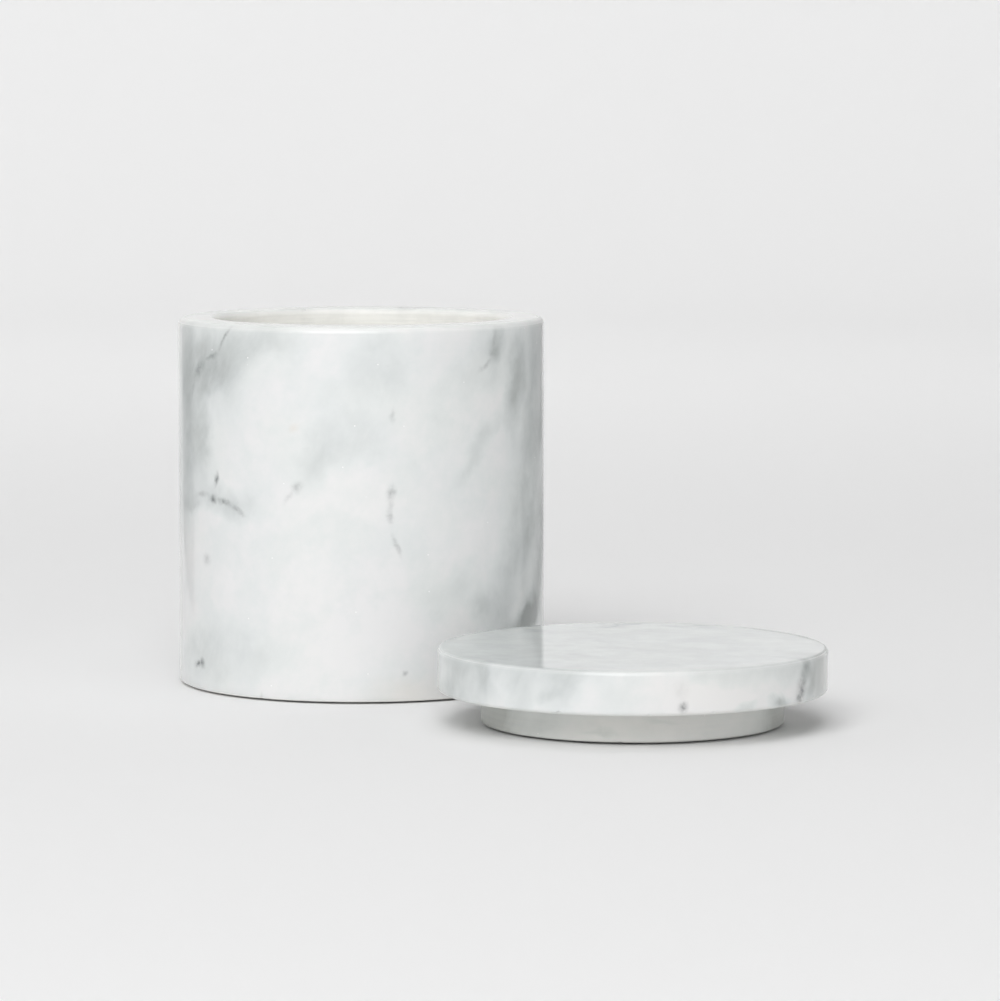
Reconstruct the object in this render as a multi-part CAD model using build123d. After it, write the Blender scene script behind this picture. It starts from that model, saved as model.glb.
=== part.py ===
from build123d import *
import os

# A turned marble powder jar and its lid. The jar stands at the origin, and the lid lies on its spigot
# beside it, on the same surface (z = 0). Millimetres, +Z up.

# The jar: a straight round block with a round cavity.
JAR_DIAMETER = 100.0
JAR_HEIGHT = 100.0
WALL_THICKNESS = 10.5
FLOOR_THICKNESS = 11.0
RIM_OUTER_ROUNDING = 2.0
RIM_INNER_ROUNDING = 1.8
CAVITY_CORNER_RADIUS = 5.0
FOOT_ROUNDING = 0.9

# The lid: a flat disc with a spigot under it, which centres it in the jar's mouth.
LID_DIAMETER = 100.4
LID_HEIGHT = 19.9
SPIGOT_DEPTH = 8.75
SPIGOT_CLEARANCE = 0.5
LID_TOP_ROUNDING = 1.1
LID_UNDER_ROUNDING = 0.9
SPIGOT_CORNER_RADIUS = 0.6
SPIGOT_FOOT_ROUNDING = 0.75

# Where the lid lies beside the jar: its axis, measured from the jar's.
LID_RIGHT = 72.0
LID_FORWARD = 82.8

CAVITY_RADIUS = JAR_DIAMETER / 2 - WALL_THICKNESS
SPIGOT_RADIUS = CAVITY_RADIUS - SPIGOT_CLEARANCE


def turned_solid(corners):
    """Turns a half section about Z. Each corner is its radius, its height and the rounding it gets."""
    outline = Polyline([(radius, height) for radius, height, _ in corners], close=True)
    section = make_face(outline)
    for radius, height, rounding in corners:
        if rounding > 0:
            corner = section.vertices().sort_by_distance((radius, height))[0]
            section = fillet(corner, rounding)
    return revolve(Plane.XZ * section, Axis.Z)


def make_jar():
    """The jar's body: wall, floor and open cavity in one piece of stone."""
    outer = JAR_DIAMETER / 2
    return turned_solid(
        [
            (0, 0, 0),
            (outer, 0, FOOT_ROUNDING),
            (outer, JAR_HEIGHT, RIM_OUTER_ROUNDING),
            (CAVITY_RADIUS, JAR_HEIGHT, RIM_INNER_ROUNDING),
            (CAVITY_RADIUS, FLOOR_THICKNESS, CAVITY_CORNER_RADIUS),
            (0, FLOOR_THICKNESS, 0),
        ]
    )


def make_lid():
    """The lid where it lies beside the jar: disc and spigot in one piece of stone."""
    outer = LID_DIAMETER / 2
    lid = turned_solid(
        [
            (0, 0, 0),
            (SPIGOT_RADIUS, 0, SPIGOT_FOOT_ROUNDING),
            (SPIGOT_RADIUS, SPIGOT_DEPTH, SPIGOT_CORNER_RADIUS),
            (outer, SPIGOT_DEPTH, LID_UNDER_ROUNDING),
            (outer, LID_HEIGHT, LID_TOP_ROUNDING),
            (0, LID_HEIGHT, 0),
        ]
    )
    return Pos(LID_RIGHT, -LID_FORWARD, 0) * lid


os.makedirs("parts", exist_ok=True)
for node, solid in {"jar": make_jar(), "lid": make_lid()}.items():
    solid.label = node
    export_step(solid, f"parts/{node}.step")
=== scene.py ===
import math
from collections import namedtuple

import bpy
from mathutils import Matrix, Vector, noise


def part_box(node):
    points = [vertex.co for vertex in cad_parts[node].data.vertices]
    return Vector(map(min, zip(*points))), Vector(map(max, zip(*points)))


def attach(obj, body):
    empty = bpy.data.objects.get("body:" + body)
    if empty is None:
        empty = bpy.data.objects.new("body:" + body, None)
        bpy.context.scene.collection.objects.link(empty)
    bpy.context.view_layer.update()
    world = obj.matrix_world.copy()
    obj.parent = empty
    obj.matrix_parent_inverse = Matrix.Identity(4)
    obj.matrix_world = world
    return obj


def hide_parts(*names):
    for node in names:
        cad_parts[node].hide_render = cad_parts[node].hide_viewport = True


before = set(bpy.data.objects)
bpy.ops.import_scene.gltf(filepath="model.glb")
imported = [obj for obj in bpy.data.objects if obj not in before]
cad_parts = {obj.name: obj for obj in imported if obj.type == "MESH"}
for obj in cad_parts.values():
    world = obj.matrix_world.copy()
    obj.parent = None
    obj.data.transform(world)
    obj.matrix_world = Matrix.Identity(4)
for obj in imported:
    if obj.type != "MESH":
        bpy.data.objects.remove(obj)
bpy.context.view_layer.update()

# The looks of a turned marble powder jar and its lid. Lengths are in metres unless a name or comment says
# millimetres, in the CAD frame: the jar stands at the origin, and the lid lies on its spigot in front of it
# and to the right. An azimuth goes round a piece's own axis, in degrees: 0 faces the camera's side (-Y),
# and 90 faces right (+X).
MM = 0.001

CAMERA_PLACE = (0.0379, -1.2565, 0.1720)
CAMERA_DOWN = math.radians(5.575)
CAMERA_LENS = 165.5

# Sizes inside the frame's boxes, the same as the CAD's.
WALL_THICKNESS = 10.5 * MM
FLOOR_THICKNESS = 11.0 * MM
SPIGOT_DEPTH = 8.75 * MM
SPIGOT_CLEARANCE = 0.5 * MM

SEGMENTS = 448

# A corner of a half section: the rounding that it gets, and the finish (0 polished, 1 honed) and ring
# spacing of the straight run that follows it.
Corner = namedtuple("Corner", "radius height rounding finish spacing")
Ring = namedtuple("Ring", "radius height normal finish worn")
# A chip on an edge: where it is, how wide and how deep it is, in millimetres.
Chip = namedtuple("Chip", "azimuth radius height size depth")
# A cloud or vein in the stone: the middle of its mark, its length and width in millimetres, how far its
# length rises to the right in degrees, and how strong it is, which is below 0 where the mark is whiter
# than around it. It is on the outside, or at its own radius. A few marks are painted light and shade, not
# stone.
Mark = namedtuple("Mark", "azimuth height length width tilt strength radius", defaults=[None])
# A piece's marks: its grey clouds, its dark veins and its cream areas. Some clouds and cream areas are
# painted light and shade beside the lid and under it.
Marks = namedtuple("Marks", "clouds veins warm")
# A block of marble: what moves the pattern that noise draws on its far side, and how far behind the
# piece's axis that pattern starts.
Block = namedtuple("Block", "offset start")
# A piece's finish: the tone of the faces left honed, which also holds painted light inside the jar and
# painted shade on the lid's spigot and underside, how much it hides, and the roughness of the others.
Finish = namedtuple("Finish", "raw_tone raw_cover polish")


# ---- Turned meshes ----

# The longest step round a corner.
ARC_STEP = 0.28 * MM
# How far hand finishing leaves the faces uneven, and how much further the outer edges are worn.
UNEVEN_DEPTH = 0.03 * MM
WORN_DEPTH = 0.10 * MM
# How many lumps of each kind there are in a metre.
UNEVEN_LUMPS = 55
WORN_LUMPS = 260
CHIP_LUMPS = 1400
# How far a chip's outline strays from round, as a part of its size.
CHIP_RAGGED = 0.35


def piece_place(node):
    """A turned CAD node's foot centre, outer radius and height, from its box."""
    low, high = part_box(node)
    centre = (low + high) / 2
    return Vector((centre.x, centre.y, low.z)), (high.x - low.x) / 2, high.z - low.z


def arc_rings(corner, before, after, finish_before):
    """Rings round one corner. before and after point from the corner along its two runs."""
    if corner.rounding == 0:
        level = (after - before).normalized()
        return [Ring(corner.radius, corner.height, Vector((level.y, -level.x)), corner.finish, 0)]
    centre = Vector((corner.radius, corner.height)) + (before + after) * corner.rounding
    outward = before.x * after.y - before.y * after.x < 0
    steps = max(5, math.ceil(corner.rounding * math.pi / 2 / ARC_STEP))
    rings = []
    for number in range(steps + 1):
        part = number / steps
        turn = part * math.pi / 2
        arm = -after * math.cos(turn) - before * math.sin(turn)
        point = centre + arm * corner.rounding
        finish = finish_before + (corner.finish - finish_before) * part
        worn = math.sin(part * math.pi) if outward else 0.0
        rings.append(Ring(point.x, point.y, arm if outward else -arm, finish, worn))
    return rings


def section_rings(corners):
    """Rings of a half section that starts and ends on the axis, with its long runs divided."""
    rings = []
    for index in range(1, len(corners) - 1):
        corner = corners[index]
        here = Vector((corner.radius, corner.height))
        before = (Vector(corners[index - 1][:2]) - here).normalized()
        after = (Vector(corners[index + 1][:2]) - here).normalized()
        arc = arc_rings(corner, before, after, corners[index - 1].finish)
        start = rings[-1] if rings else Ring(0, corners[0].height, arc[0].normal, corners[0].finish, 0)
        rings += run_rings(start, arc[0], corners[index - 1].spacing)
        rings += arc
    last = corners[-1]
    end = Ring(0, last.height, rings[-1].normal, last.finish, 0)
    return rings + run_rings(rings[-1], end, corners[-2].spacing)


def run_rings(start, end, spacing):
    """Rings along a straight run, without its two ends."""
    length = math.hypot(end.radius - start.radius, end.height - start.height)
    count = max(1, round(length / spacing))
    rings = []
    for number in range(1, count):
        part = number / count
        radius = start.radius + (end.radius - start.radius) * part
        height = start.height + (end.height - start.height) * part
        rings.append(Ring(radius, height, start.normal, start.finish, 0))
    return rings


def segment_turns(chips, radius):
    """The turns of a piece's segments: evenly spaced, and closer together across each chip."""
    turns = {round(number / SEGMENTS * math.tau, 6) for number in range(SEGMENTS)}
    for chip in chips:
        half = chip.size * MM / radius
        middle = math.radians(chip.azimuth - 90)
        turns |= {round((middle + half * number / 6) % math.tau, 6) for number in range(-6, 7)}
    return sorted(turns)


def chip_depth(chips, point):
    """How far the chips go into the stone at a point, and 1 inside a chip, fading to 0 at its edge."""
    depth, inside = 0.0, 0.0
    for chip in chips:
        turn = math.radians(chip.azimuth)
        middle = Vector((chip.radius * math.sin(turn), -chip.radius * math.cos(turn), chip.height)) * MM
        ragged = 1 + CHIP_RAGGED * noise.noise(point * CHIP_LUMPS)
        away = (point - middle).length / (chip.size * MM / 2 * ragged)
        if away < 1:
            depth = max(depth, chip.depth * MM * math.sqrt(1 - away * away))
            inside = max(inside, min(1.0, (1 - away) * 3))
    return depth, inside


def lumpy(point, lumps):
    """Noise from 0 to 1."""
    return 0.5 + 0.5 * noise.noise(point * lumps)


def turned_piece(name, corners, chips, place):
    """A closed mesh turned from a half section, a little uneven as hand finishing leaves it."""
    rings = section_rings(corners)
    turns = segment_turns(chips, max(ring.radius for ring in rings))
    around = len(turns)
    vertices = [Vector((0, 0, corners[0].height))]
    finish = [corners[0].finish]
    wear = [0.0]
    for ring in rings:
        for turn in turns:
            out = Vector((math.cos(turn), math.sin(turn), 0))
            point = out * ring.radius + Vector((0, 0, ring.height))
            uneven = UNEVEN_DEPTH * lumpy(point, UNEVEN_LUMPS)
            softened = WORN_DEPTH * ring.worn * lumpy(point, WORN_LUMPS)
            depth, inside = chip_depth(chips, point)
            inward = -(out * ring.normal.x + Vector((0, 0, ring.normal.y)))
            vertices.append(point + inward * (uneven + softened + depth))
            finish.append(ring.finish)
            wear.append(max(inside, 0.5 * ring.worn))
    vertices.append(Vector((0, 0, corners[-1].height)))
    finish.append(corners[-1].finish)
    wear.append(0.0)
    faces = []
    end = 1 + (len(rings) - 1) * around
    for segment in range(around):
        beside = (segment + 1) % around
        faces.append((0, 1 + beside, 1 + segment))
        for start in range(1, end, around):
            above = start + around
            faces.append((start + segment, start + beside, above + beside, above + segment))
        faces.append((end + segment, end + beside, len(vertices) - 1))
    mesh = bpy.data.meshes.new(name)
    mesh.from_pydata([vertex + place for vertex in vertices], [], faces)
    mesh.shade_smooth()
    for layer, values in (("honed", finish), ("worn", wear)):
        mesh.attributes.new(layer, "FLOAT", "POINT").data.foreach_set("value", values)
    piece = bpy.data.objects.new(name, mesh)
    bpy.context.scene.collection.objects.link(piece)
    return piece


# ---- Marble ----

# White stone, and how it greys as the clouds in it thicken.
STONE_TONES = [
    (0.00, (0.816, 0.815, 0.811, 1)),
    (0.10, (0.758, 0.781, 0.773, 1)),
    (0.45, (0.594, 0.623, 0.617, 1)),
    (1.00, (0.376, 0.397, 0.388, 1)),
]
# What multiplies the stone's colour where it is coolest.
COOL_TINT = (0.990, 0.991, 0.998, 1)
WARM_TONE = (0.66, 0.60, 0.49, 1)
VEIN_TONE = (0.085, 0.095, 0.10, 1)
PAINTED_GLINT_TONE = (0.95, 0.95, 0.95, 1)
WORN_TONE = (0.87, 0.87, 0.85, 1)

# How far a mark goes on into the stone.
CLOUD_DEPTH = 14 * MM
VEIN_DEPTH = 7 * MM
# How much darker a vein is in its middle than in its soft edge.
VEIN_FOCUS = 1.7
# How strong the far side's own clouds and veins are, and how long they take to reach that.
WILD_CLOUDS = 0.62
WILD_VEINS = 0.6
FAR_SIDE_FADE = 30 * MM

# The bedding of the block runs up to the right, and the stone is streaked along it.
BEDDING = (0.0, math.radians(-56), math.radians(-20))
BEDDING_STRETCH = 3.0

# How much rougher the stone is where it is honed, where it is worn, with its grain, and in a vein.
HONED_ROUGHER = 0.34
WORN_ROUGHER = 0.45
GRAIN_ROUGHER = 0.03
VEIN_ROUGHER = 0.12
# How high the grain of a polished face and the turning marks of a honed face stand.
POLISHED_RELIEF = 0.0012 * MM
TURNED_RELIEF = 0.012 * MM


def add_node(tree, kind, values=None, output=0, **settings):
    """Adds a shader node, sets or links its inputs, and gives one of its outputs."""
    made = tree.nodes.new("ShaderNode" + kind)
    for name, value in settings.items():
        setattr(made, name, value)
    for socket, value in (values or {}).items():
        if isinstance(value, bpy.types.NodeSocket):
            tree.links.new(value, made.inputs[socket])
        else:
            made.inputs[socket].default_value = value
    return made.outputs[output]


def calculate(tree, operation, *values):
    return add_node(tree, "Math", dict(enumerate(values)), operation=operation)


def fade(tree, value, low, high):
    """0 at low to 1 at high, smoothly. low may be the larger."""
    values = {"Value": value, "From Min": low, "From Max": high}
    return add_node(tree, "MapRange", values, interpolation_type="SMOOTHSTEP")


def mix_colours(tree, factor, first, second):
    return add_node(tree, "Mix", {0: factor, 6: first, 7: second}, output=2, data_type="RGBA")


def cloudy(tree, point, size, detail, roughness=0.5, output=0):
    """Noise whose lumps are about size across, in metres."""
    values = {"Vector": point, "Scale": 1 / size, "Detail": detail, "Roughness": roughness}
    return add_node(tree, "TexNoise", values, output=output)


def shifted(tree, point, size, reach):
    """A point moved about by noise, to break up smooth outlines."""
    colour = cloudy(tree, point, size, 3, output=1)
    centred = add_node(tree, "VectorMath", {0: colour, 1: (0.5, 0.5, 0.5)}, operation="SUBTRACT")
    offset = add_node(tree, "VectorMath", {0: centred, "Scale": reach}, operation="SCALE")
    return add_node(tree, "VectorMath", {0: point, 1: offset}, operation="ADD")


def mark_shape(tree, point, place, radius, mark, depth):
    """1 in the middle of a mark, fading to 0 at its edge. It goes on into the stone by depth."""
    turn = math.radians(mark.azimuth)
    if mark.radius is not None:
        radius = mark.radius * MM
    middle = place + Vector((radius * math.sin(turn), -radius * math.cos(turn), mark.height * MM))
    ball = add_node(tree, "TexGradient", {0: point}, output=1, gradient_type="SPHERICAL")
    mapping = ball.node.texture_mapping
    mapping.vector_type = "TEXTURE"
    mapping.translation = middle
    mapping.rotation = (0, -math.radians(mark.tilt), turn)
    mapping.scale = (mark.length * MM / 2, depth, mark.width * MM / 2)
    return fade(tree, ball, 0.0, 1.0)


def added_marks(tree, point, place, radius, marks, depth):
    total = 0.0
    for mark in marks:
        shape = mark_shape(tree, point, place, radius, mark, depth)
        total = calculate(tree, "MULTIPLY_ADD", shape, mark.strength, total)
    return total


def strongest_mark(tree, point, place, radius, marks, depth):
    total = 0.0
    for mark in marks:
        shape = mark_shape(tree, point, place, radius, mark, depth)
        total = calculate(tree, "MAXIMUM", calculate(tree, "MULTIPLY", shape, mark.strength), total)
    return total


def bedded(tree, point, offset):
    """A point in the block's own bedding, so that noise in it comes out as long streaks."""
    values = {
        "Vector": shifted(tree, point, 26 * MM, 11 * MM),
        "Location": offset,
        "Rotation": BEDDING,
        "Scale": (BEDDING_STRETCH, 1, 1),
    }
    return add_node(tree, "Mapping", values, vector_type="TEXTURE")


def cloud_amount(tree, point, laid, place, radius, clouds, far_side):
    """How grey the stone is: the clouds that show, with the painted light and shade among them, wilder ones
    on the far side, and a fine mottle.
    """
    loose = shifted(tree, shifted(tree, point, 15 * MM, 10 * MM), 4.5 * MM, 3.2 * MM)
    placed = added_marks(tree, loose, place, radius, clouds, CLOUD_DEPTH)
    wild = fade(tree, cloudy(tree, laid, 17 * MM, 5, 0.55), 0.46, 0.72)
    wild = calculate(tree, "MULTIPLY", wild, calculate(tree, "MULTIPLY", far_side, WILD_CLOUDS))
    # The clouds are streaked along the bedding, with fine wisps in them.
    streaks = fade(tree, cloudy(tree, laid, 8 * MM, 5, 0.6), 0.34, 0.66)
    wisps = fade(tree, cloudy(tree, laid, 3.0 * MM, 4, 0.6), 0.3, 0.7)
    texture = calculate(tree, "MULTIPLY_ADD", wisps, 0.15, 0.75)
    texture = calculate(tree, "MULTIPLY_ADD", streaks, 0.30, texture)
    grey = calculate(tree, "MULTIPLY", calculate(tree, "ADD", placed, wild), texture)
    # Faint patches, streaks and a mottle run all through the stone.
    patches = fade(tree, cloudy(tree, point, 13 * MM, 3, 0.55), 0.42, 0.62)
    grey = calculate(tree, "MULTIPLY_ADD", patches, 0.055, grey)
    grey = calculate(tree, "MULTIPLY_ADD", streaks, 0.03, grey)
    mottle = calculate(tree, "SUBTRACT", cloudy(tree, point, 4 * MM, 5, 0.65), 0.46)
    grey = calculate(tree, "MULTIPLY_ADD", mottle, 0.16, grey)
    return add_node(tree, "Clamp", {0: grey, "Min": 0.0, "Max": 1.0})


def vein_amount(tree, point, laid, place, radius, veins, far_side):
    """How dark the veins are: the ones that show, and thin ones that noise draws on the far side."""
    loose = shifted(tree, shifted(tree, point, 8 * MM, 2.4 * MM), 1.5 * MM, 1.1 * MM)
    rooted = [vein._replace(strength=vein.strength ** (1 / VEIN_FOCUS)) for vein in veins]
    placed = strongest_mark(tree, loose, place, radius, rooted, VEIN_DEPTH)
    placed = calculate(tree, "POWER", placed, VEIN_FOCUS)
    # Fine noise breaks the veins up.
    crumbled = fade(tree, cloudy(tree, point, 1.6 * MM, 4, 0.6), 0.34, 0.64)
    placed = calculate(tree, "MULTIPLY", placed, calculate(tree, "MULTIPLY_ADD", crumbled, 0.48, 0.50))
    # A thin vein runs wherever wide noise passes its middle value, and other noise opens gaps in it.
    ridge = calculate(tree, "SUBTRACT", cloudy(tree, laid, 26 * MM, 2, 0.45), 0.5)
    ridge = fade(tree, calculate(tree, "ABSOLUTE", ridge), 0.016, 0.0)
    gate = fade(tree, cloudy(tree, point, 26 * MM, 2), 0.50, 0.62)
    wild = calculate(tree, "MULTIPLY", ridge, calculate(tree, "MULTIPLY", gate, WILD_VEINS))
    wild = calculate(tree, "MULTIPLY", wild, calculate(tree, "MULTIPLY", crumbled, far_side))
    strongest = calculate(tree, "MAXIMUM", placed, wild)
    return add_node(tree, "Clamp", {0: strongest, "Min": 0.0, "Max": 1.0})


def painted_glints(tree, point):
    """1 on the few calcite grains that catch the light, where the colour is whitened into a painted glint.
    """
    cells = {"Vector": point, "Scale": 1 / (3.2 * MM)}
    away = add_node(tree, "TexVoronoi", cells)
    colour = add_node(tree, "TexVoronoi", cells, output=1)
    chosen = fade(tree, add_node(tree, "SeparateColor", {0: colour}), 0.80, 0.81)
    return calculate(tree, "MULTIPLY", fade(tree, away, 0.075, 0.045), chosen)


def lathe_rings(tree, point, place):
    """Fine rings round a piece's axis, on its walls and its flat faces alike."""
    local = add_node(tree, "VectorMath", {0: point, 1: place}, operation="SUBTRACT")
    flat = add_node(tree, "VectorMath", {0: local, 1: (1, 1, 0)}, operation="MULTIPLY")
    out = add_node(tree, "VectorMath", {0: flat}, output=1, operation="LENGTH")
    height = add_node(tree, "SeparateXYZ", {0: local}, output=2)
    across = calculate(tree, "MULTIPLY", add_node(tree, "SeparateXYZ", {0: local}), 0.04)
    turned = add_node(tree, "CombineXYZ", {0: out, 1: across, 2: height})
    return cloudy(tree, turned, 0.7 * MM, 4, 0.6)


def stone_tone(tree, amount):
    """The stone's colour where its clouds have this amount."""
    made = tree.nodes.new("ShaderNodeValToRGB")
    elements = made.color_ramp.elements
    while len(elements) < len(STONE_TONES):
        elements.new(1.0)
    for index, (position, tone) in enumerate(STONE_TONES):
        elements[index].position = position
        elements[index].color = tone
    tree.links.new(amount, made.inputs[0])
    return made.outputs[0]


def raw_stone(tree, point, rings, tone):
    """The colour of faces left honed, which turning marks and stone dust make blotchy. Its tone also holds
    painted light inside the jar and painted shade under the lid.
    """
    blotches = cloudy(tree, point, 6 * MM, 4, 0.6)
    uneven = calculate(tree, "MULTIPLY_ADD", rings, 0.45, blotches)
    dull = [0.92 * part for part in tone[:3]] + [1]
    return mix_colours(tree, fade(tree, uneven, 0.55, 0.88), dull, tone)


def marble(name, place, radius, marks, block, finish):
    """White marble with grey clouds and dark veins."""
    material = bpy.data.materials.new(name)
    material.use_nodes = True
    tree = material.node_tree
    point = add_node(tree, "TexCoord", output=3)
    laid = bedded(tree, point, block.offset)
    far_start = place.y + block.start
    far_side = add_node(tree, "SeparateXYZ", {0: point}, output=1)
    far_side = fade(tree, far_side, far_start, far_start + FAR_SIDE_FADE)
    honed = add_node(tree, "Attribute", output=2, attribute_name="honed")
    worn = add_node(tree, "Attribute", output=2, attribute_name="worn")

    colour = stone_tone(tree, cloud_amount(tree, point, laid, place, radius, marks.clouds, far_side))
    coolness = fade(tree, cloudy(tree, point, 22 * MM, 2), 0.40, 0.60)
    tint = mix_colours(tree, coolness, (1.0, 1.0, 1.0, 1), COOL_TINT)
    colour = add_node(tree, "VectorMath", {0: colour, 1: tint}, operation="MULTIPLY")
    loose = shifted(tree, point, 6 * MM, 4 * MM)
    # The warm marks hold painted shade at the jar's foot, beside the lid, as well as cream in the stone.
    warmth = added_marks(tree, loose, place, radius, marks.warm, CLOUD_DEPTH)
    colour = mix_colours(tree, warmth, colour, WARM_TONE)
    vein = vein_amount(tree, point, laid, place, radius, marks.veins, far_side)
    colour = mix_colours(tree, vein, colour, VEIN_TONE)
    colour = mix_colours(tree, painted_glints(tree, point), colour, PAINTED_GLINT_TONE)
    rings = lathe_rings(tree, point, place)
    cover = calculate(tree, "MULTIPLY_ADD", rings, 0.5 * finish.raw_cover, 0.75 * finish.raw_cover)
    honed_colour_and_painted_light = raw_stone(tree, point, rings, finish.raw_tone)
    colour = mix_colours(tree, calculate(tree, "MULTIPLY", honed, cover), colour, honed_colour_and_painted_light)
    colour = mix_colours(tree, calculate(tree, "MULTIPLY", worn, 0.35), colour, WORN_TONE)

    grain = cloudy(tree, point, 0.5 * MM, 3)
    rough = calculate(tree, "MULTIPLY_ADD", honed, HONED_ROUGHER, finish.polish)
    rough = calculate(tree, "MULTIPLY_ADD", worn, WORN_ROUGHER, rough)
    rough = calculate(tree, "MULTIPLY_ADD", grain, GRAIN_ROUGHER, rough)
    rough = calculate(tree, "MULTIPLY_ADD", vein, VEIN_ROUGHER, rough)

    sunk_veins = calculate(tree, "MULTIPLY_ADD", vein, -0.6, grain)
    polished = calculate(tree, "MULTIPLY", sunk_veins, POLISHED_RELIEF)
    turned = calculate(tree, "MULTIPLY", calculate(tree, "ADD", rings, grain), TURNED_RELIEF)
    relief = calculate(tree, "MULTIPLY_ADD", turned, honed, polished)
    bump = add_node(tree, "Bump", {"Height": relief, "Distance": 1.0})

    shader = tree.nodes["Principled BSDF"]
    shader.inputs["IOR"].default_value = 1.5
    tree.links.new(colour, shader.inputs["Base Color"])
    tree.links.new(rough, shader.inputs["Roughness"])
    tree.links.new(bump, shader.inputs["Normal"])
    return material


# ---- The jar ----

JAR_CLOUDS_AND_PAINTED_LIGHT = [
    Mark(-66, 70, 66, 30, 88, 0.50),
    Mark(-84, 60, 56, 18, 90, 0.42),
    Mark(-56, 67, 36, 14, 88, 0.36),
    Mark(-62, 90, 46, 30, 25, 0.44),
    Mark(-44, 92, 50, 20, 28, 0.42),
    Mark(-50, 85, 32, 16, 30, 0.26),
    Mark(-24, 95, 32, 12, 10, 0.20),
    Mark(-39, 84, 32, 20, 40, 0.16),
    Mark(-75, 50, 26, 14, 0, 0.16),
    Mark(-44, 53, 34, 12, -12, 0.38),
    Mark(-62, 51, 26, 9, 8, 0.20),
    Mark(-12, 67, 32, 16, 55, 0.15),
    Mark(-3, 69, 38, 22, 35, 0.16),
    Mark(0, 88, 44, 20, 60, 0.11),
    Mark(10, 88, 34, 22, 90, 0.14),
    Mark(24, 80, 56, 30, 65, 0.05),
    Mark(30, 62, 56, 30, 70, 0.05),
    Mark(22, 44, 50, 22, 80, 0.03),
    Mark(20, 28, 40, 14, 90, 0.07),
    Mark(28, 29, 28, 14, 50, 0.12),
    Mark(41, 26, 16, 12, 20, 0.32),
    Mark(48, 45, 50, 20, 70, 0.03),
    Mark(46, 91, 36, 22, 45, 0.25),
    Mark(47, 94, 16, 10, 60, 0.40),
    Mark(42, 68, 40, 9, 48, 0.21),
    Mark(57, 84, 36, 12, 82, 0.72),
    Mark(68, 86, 40, 20, 85, 0.36),
    Mark(70, 62, 60, 22, 88, 0.29),
    Mark(59, 62, 52, 20, 78, 0.20),
    Mark(69, 44, 40, 13, 68, 0.42),
    Mark(61, 47, 40, 18, 75, 0.20),
    Mark(62, 18, 44, 11, 10, 1.00),
    Mark(69, 22, 24, 14, 30, 0.60),
    Mark(55, 33, 36, 20, 60, 0.32),
    Mark(50, 22, 22, 12, 30, 0.22),
    Mark(74, 30, 36, 14, 90, 0.34),
    Mark(87, 80, 52, 18, 66, 0.50),
    Mark(83, 46, 56, 18, 76, 0.62),
    Mark(86, 14, 44, 16, 62, 0.50),
    Mark(-40, 13, 60, 22, 0, 0.14),
    Mark(-60, 9, 36, 26, 0, 0.26),
    # Painted light: the two whiter marks low on the front, beside the lid, lift the shade that the lid
    # casts on the jar.
    Mark(6, 16, 56, 26, 10, -0.07),
    Mark(14, 40, 22, 30, 90, -0.03),
]
JAR_VEINS = [
    Mark(-45.0, 96.0, 14.4, 2.4, 53, 0.56),
    Mark(-51.5, 91.2, 12, 2.6, 15, 0.46),
    Mark(-58.5, 87.5, 16.8, 6, 43, 0.46),
    Mark(-63.0, 82.0, 9.6, 2.8, 65, 0.32),
    Mark(-57.0, 53.6, 13.2, 2.8, 5, 0.32),
    Mark(-51.0, 52.9, 7.2, 4.6, 0, 0.82),
    Mark(-45.5, 52.2, 10.8, 3.4, -10, 0.60),
    Mark(-39.5, 50.4, 12, 3.3, -28, 0.42),
    Mark(-49.2, 58.6, 7.2, 3.5, 78, 0.85),
    Mark(-62.5, 50.2, 16.8, 3.9, 16, 0.16),
    Mark(-18.5, 57.2, 6.6, 5.2, 35, 0.34),
    Mark(-21.0, 54.8, 8.4, 3.1, 55, 0.18),
    Mark(10.6, 56.0, 7.8, 4.5, 88, 0.42),
    Mark(10.6, 49.6, 5.4, 3.5, 85, 0.50),
    Mark(10.6, 53.0, 18, 3.1, 90, 0.18),
    Mark(12.3, 42.0, 10.8, 2.6, -68, 0.32),
    Mark(11.5, 76.5, 7.2, 3.1, 90, 0.25),
    Mark(46.4, 92.3, 7.2, 5.6, 10, 0.34),
    Mark(42.8, 89.4, 12, 3, 35, 0.28),
    Mark(46.9, 96.0, 9.6, 3, 80, 0.24),
    Mark(-60.0, 7.6, 10.2, 3.5, 12, 0.85),
    Mark(-57.5, 8.2, 4.8, 4.5, 0, 0.95),
    Mark(-55.0, 36.3, 7.2, 6.3, 28, 0.36),
    Mark(15.0, 8.0, 2.6, 3.1, 0, 0.45),
]
JAR_WARM_AND_PAINTED_SHADE = [
    # Painted shade: the first mark is a warm shade at the jar's foot, beside the lid; the second is a cream
    # spot in the stone.
    Mark(15, 2, 36, 16, 0, 0.22),
    Mark(-19, 73, 5, 4, 0, 0.22),
]
JAR_CHIPS = [
    Chip(-31, 49.9, 0.3, 1.3, 0.30),
    Chip(24, 49.9, 99.7, 0.9, 0.18),
    Chip(-68, 49.8, 99.8, 1.1, 0.22),
    Chip(118, 49.9, 0.3, 1.5, 0.35),
    Chip(171, 49.8, 99.8, 1.2, 0.25),
    Chip(205, 40.0, 99.8, 1.0, 0.22),
]


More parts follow.
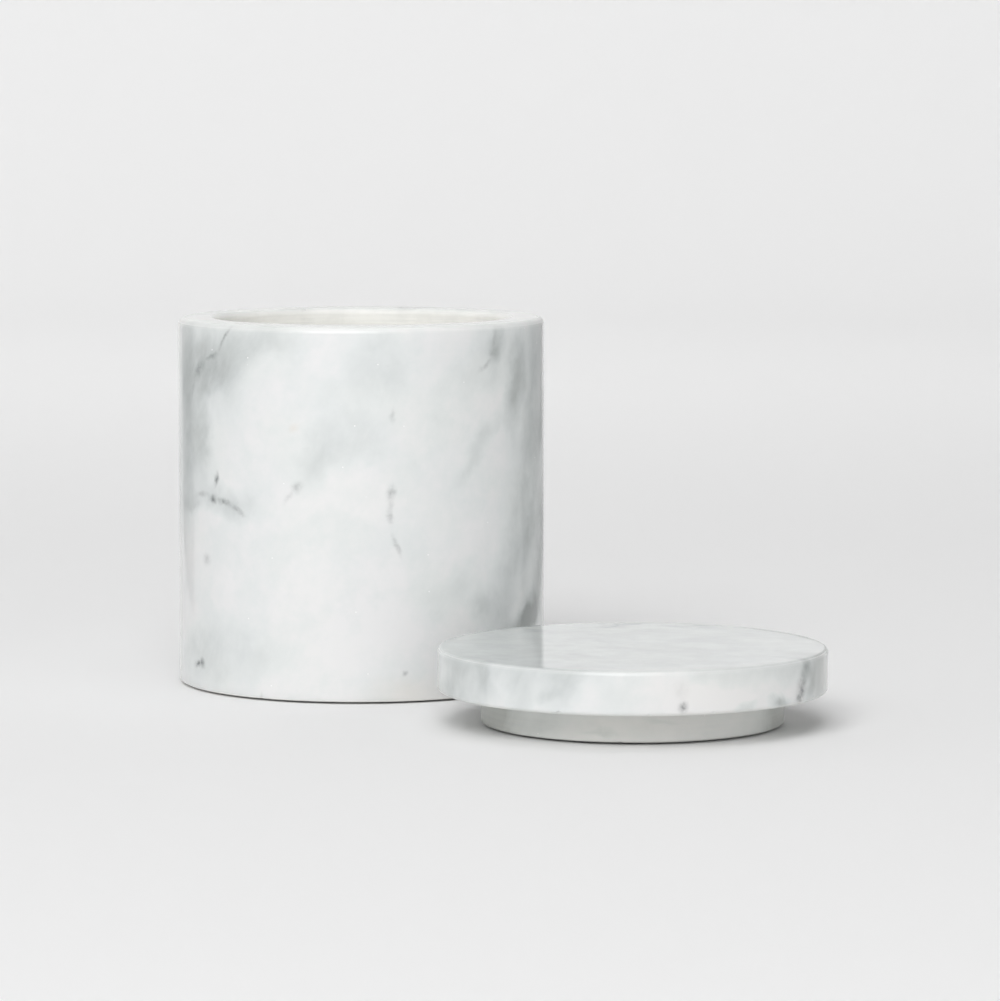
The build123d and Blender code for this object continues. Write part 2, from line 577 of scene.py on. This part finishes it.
def make_jar():
    place, radius, height = piece_place("jar")
    cavity = radius - WALL_THICKNESS
    corners = [
        Corner(0, 0, 0, 1.0, 4 * MM),
        Corner(radius - 5.0 * MM, 0, 0, 1.0, 1.5 * MM),
        Corner(radius, 0.6 * MM, 0.5 * MM, 0.0, 2.0 * MM),
        Corner(radius, height, 2.0 * MM, 0.35, 1.0 * MM),
        Corner(cavity, height, 1.8 * MM, 1.0, 2.5 * MM),
        Corner(cavity, FLOOR_THICKNESS, 5.0 * MM, 1.0, 2.5 * MM),
        Corner(0, FLOOR_THICKNESS, 0, 1.0, 0),
    ]
    jar = turned_piece("jar_stone", corners, JAR_CHIPS, place)
    marks = Marks(JAR_CLOUDS_AND_PAINTED_LIGHT, JAR_VEINS, JAR_WARM_AND_PAINTED_SHADE)
    block = Block((0, 0, 0), -8 * MM)
    # The honed tone is paler than the polished stone: honed marble is paler, and the rest is painted light
    # on the shaded inner wall of the mouth.
    finish = Finish((0.99, 0.985, 0.945, 1), 0.95, 0.09)
    jar.data.materials.append(marble("jar_marble", place, radius, marks, block, finish))
    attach(jar, "jar")
    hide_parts("jar")


# ---- The lid ----

LID_CLOUDS_AND_PAINTED_SHADE = [
    Mark(-64, 14, 46, 22, 0, 0.38),
    Mark(-49, 16.5, 18, 9, -55, 0.28),
    Mark(-72, 11, 22, 8, 0, 0.25),
    Mark(-36, 13, 20, 14, 80, 0.22),
    Mark(-22, 14, 26, 16, 70, 0.26),
    Mark(-26, 12, 11, 6, 30, 0.20),
    Mark(-6, 13, 22, 18, 0, 0.07),
    Mark(45, 10.8, 13, 5.5, 10, 0.75),
    Mark(32, 10.4, 9, 4, 20, 0.34),
    Mark(28, 14, 30, 16, 0, -0.08),
    Mark(16, 14, 84, 34, 0, -0.07),
    Mark(59.5, 17.5, 8, 7, 75, 0.50),
    Mark(69, 14, 22, 20, 90, 0.48),
    Mark(62, 13, 14, 9, 65, 0.42),
    # Painted shade: the two strongest marks darken both ends of the spigot, in the shade under the top's
    # overhang.
    Mark(-72, 4, 44, 30, 0, 1.60, 39),
    Mark(72, 4, 32, 30, 0, 1.30, 39),
    Mark(-40, 5, 20, 12, 20, 0.35, 39),
    Mark(-14, 3.8, 14, 3, 0, 0.30, 39),
    Mark(10, 5.4, 10, 2, 0, 0.25, 39),
]
# The top is evenly grey: long marks lie side by side across it, from front to back.
LID_CLOUDS_AND_PAINTED_SHADE += [Mark(0, 19.9, 260, 14, 0, 0.28, row) for row in range(-42, 43, 14)]
LID_VEINS = [
    Mark(12.8, 11.0, 5.4, 4.5, 85, 0.80),
    Mark(12.4, 15.0, 9.6, 7, 90, 0.11),
    Mark(56.2, 13.2, 13.2, 8.8, 62, 0.78),
    Mark(54.5, 10.8, 6, 7, 60, 0.70),
    Mark(59.5, 17.5, 8.4, 7, 75, 0.34),
]
LID_WARM = [
    Mark(16, 14, 96, 26, 0, 0.065),
    Mark(74, 14, 30, 26, 0, 0.12),
    Mark(0, 4, 60, 14, 0, 0.10, 39),
]
LID_CHIPS = [
    Chip(-23, 50.1, 9.0, 1.2, 0.28),
    Chip(-38, 50.1, 9.0, 0.9, 0.20),
    Chip(22, 50.1, 9.0, 1.0, 0.22),
    Chip(3, 50.0, 9.0, 0.7, 0.15),
    Chip(64, 50.1, 9.0, 1.3, 0.28),
    Chip(140, 50.0, 19.7, 1.2, 0.25),
    Chip(-120, 50.0, 19.7, 1.0, 0.20),
    Chip(-6, 39.0, 0.3, 1.1, 0.25),
]


def make_lid():
    place, radius, height = piece_place("lid")
    jar_radius = piece_place("jar")[1]
    spigot = jar_radius - WALL_THICKNESS - SPIGOT_CLEARANCE
    corners = [
        Corner(0, 0, 0, 1.0, 4 * MM),
        Corner(spigot - 5.0 * MM, 0, 0, 1.0, 1.5 * MM),
        Corner(spigot, 0.6 * MM, 0.4 * MM, 1.0, 0.3 * MM),
        Corner(spigot, SPIGOT_DEPTH, 0.6 * MM, 1.0, 1.5 * MM),
        Corner(radius, SPIGOT_DEPTH, 0.9 * MM, 0.0, 0.6 * MM),
        Corner(radius, height, 1.1 * MM, 0.0, 2.0 * MM),
        Corner(0, height, 0, 0.0, 0),
    ]
    lid = turned_piece("lid_stone", corners, LID_CHIPS, place)
    marks = Marks(LID_CLOUDS_AND_PAINTED_SHADE, LID_VEINS, LID_WARM)
    block = Block((0.2, 0.1, 0.3), 22 * MM)
    # The honed tone is darker than the jar's: painted shade on the spigot and on the underside of the
    # overhang, over the honed stone's own tone.
    finish = Finish((0.83, 0.83, 0.765, 1), 0.36, 0.05)
    lid.data.materials.append(marble("lid_marble", place, radius, marks, block, finish))
    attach(lid, "lid")
    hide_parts("lid")


# ---- Studio ----

# A flag is an upright card that stands on the floor between two points, near and far. A light is a
# rectangle that faces its target, and its power is in watts.
Flag = namedtuple("Flag", "name near far height tone")
Light = namedtuple("Light", "name place target width height power")

# Most lights face the middle of the jar and lid together.
PIECES_MIDDLE = (0.03, 0, 0.04)
FLAGS = [
    Flag("left_flag", (-0.17, 0.08), (-0.25, 0.36), 0.24, 0.50),
    Flag("right_flag", (0.17, 0.058), (0.185, 0.40), 0.24, 0.38),
    Flag("low_flag", (0.165, 0.07), (0.125, 0.30), 0.045, 0.70),
]
LIGHTS = [
    Light("key_light", (-0.42, -1.7, 1.6), PIECES_MIDDLE, 1.6, 1.2, 28.0),
    Light("front_light", (-0.30, -2.3, 0.85), PIECES_MIDDLE, 1.6, 1.0, 5.5),
    Light("top_light", (0.10, -0.3, 2.0), (0.10, -0.3, 0.0), 1.6, 1.2, 7.0),
    Light("back_light", (0.0, 1.1, 1.6), PIECES_MIDDLE, 1.6, 1.0, 2.6),
    Light("sweep_light", (0.0, 1.0, 1.3), (0.0, 2.4, 0.6), 2.0, 0.5, 4.2),
    Light("wall_light", (-0.6, 0.6, 2.0), (-0.5, 2.5, 1.1), 2.0, 0.6, 12.0),
]
PAPER_TONE = 0.88
SKY_STRENGTH = 0.10


def matte(name, tone):
    material = bpy.data.materials.new(name)
    material.use_nodes = True
    shader = material.node_tree.nodes["Principled BSDF"]
    shader.inputs["Base Color"].default_value = (tone, tone, tone, 1)
    shader.inputs["Roughness"].default_value = 1.0
    shader.inputs["Specular IOR Level"].default_value = 0.0
    return material


def make_stage():
    """A round floor whose edge sweeps up into a low wall all round, so every view has the same ground."""
    floor_radius = 1.7
    sweep = 0.7
    wall_top = 2.2
    around = 96
    floor_rings = 8
    sweep_rings = 16
    section = [(floor_radius * ring / floor_rings, 0.0) for ring in range(1, floor_rings + 1)]
    for ring in range(1, sweep_rings + 1):
        turn = ring / sweep_rings * math.pi / 2
        section.append((floor_radius + sweep * math.sin(turn), sweep * (1 - math.cos(turn))))
    section.append((floor_radius + sweep, wall_top))
    # The paper lies a little below the foot, so that the two faces don't flicker.
    below = -0.05 * MM
    vertices = [(0, 0, below)]
    for radius, height in section:
        for segment in range(around):
            turn = segment / around * math.tau
            vertices.append((radius * math.cos(turn), radius * math.sin(turn), height + below))
    faces = []
    for segment in range(around):
        beside = (segment + 1) % around
        faces.append((0, 1 + segment, 1 + beside))
        for ring in range(len(section) - 1):
            start = 1 + ring * around
            above = start + around
            faces.append((start + segment, above + segment, above + beside, start + beside))
    mesh = bpy.data.meshes.new("stage")
    mesh.from_pydata(vertices, [], faces)
    mesh.shade_smooth()
    stage = bpy.data.objects.new("stage", mesh)
    bpy.context.scene.collection.objects.link(stage)
    stage.data.materials.append(matte("stage_paper", PAPER_TONE))


def make_card(flag):
    """A grey upright card behind the jar and to one side. Only reflections in the polished stone see it."""
    mesh = bpy.data.meshes.new(flag.name)
    corners = [(*flag.near, 0), (*flag.far, 0), (*flag.far, flag.height), (*flag.near, flag.height)]
    mesh.from_pydata(corners, [], [(0, 1, 2, 3)])
    card = bpy.data.objects.new(flag.name, mesh)
    bpy.context.scene.collection.objects.link(card)
    card.data.materials.append(matte(flag.name + "_card", flag.tone))
    card.visible_camera = False
    card.visible_diffuse = False
    card.visible_shadow = False


def make_light(light):
    """A soft rectangular light that faces its target."""
    data = bpy.data.lights.new(light.name, "AREA")
    data.shape = "RECTANGLE"
    data.size = light.width
    data.size_y = light.height
    data.energy = light.power
    lamp = bpy.data.objects.new(light.name, data)
    lamp.location = light.place
    aim = Vector(light.target) - Vector(light.place)
    lamp.rotation_euler = aim.to_track_quat("-Z", "Y").to_euler()
    bpy.context.scene.collection.objects.link(lamp)


def light_studio():
    for light in LIGHTS:
        make_light(light)
    world = bpy.data.worlds.new("studio")
    world.use_nodes = True
    world.node_tree.nodes["Background"].inputs["Color"].default_value = (1.0, 1.0, 1.0, 1)
    world.node_tree.nodes["Background"].inputs["Strength"].default_value = SKY_STRENGTH
    bpy.context.scene.world = world
    bpy.context.scene.view_settings.view_transform = "Standard"


def make_camera():
    data = bpy.data.cameras.new("camera")
    data.lens = CAMERA_LENS
    data.sensor_width = 36.0
    camera = bpy.data.objects.new("camera", data)
    camera.location = CAMERA_PLACE
    camera.rotation_euler = (math.pi / 2 - CAMERA_DOWN, 0, 0)
    bpy.context.scene.collection.objects.link(camera)
    bpy.context.scene.camera = camera


make_camera()
make_jar()
make_lid()
make_stage()
for flag in FLAGS:
    make_card(flag)
light_studio()
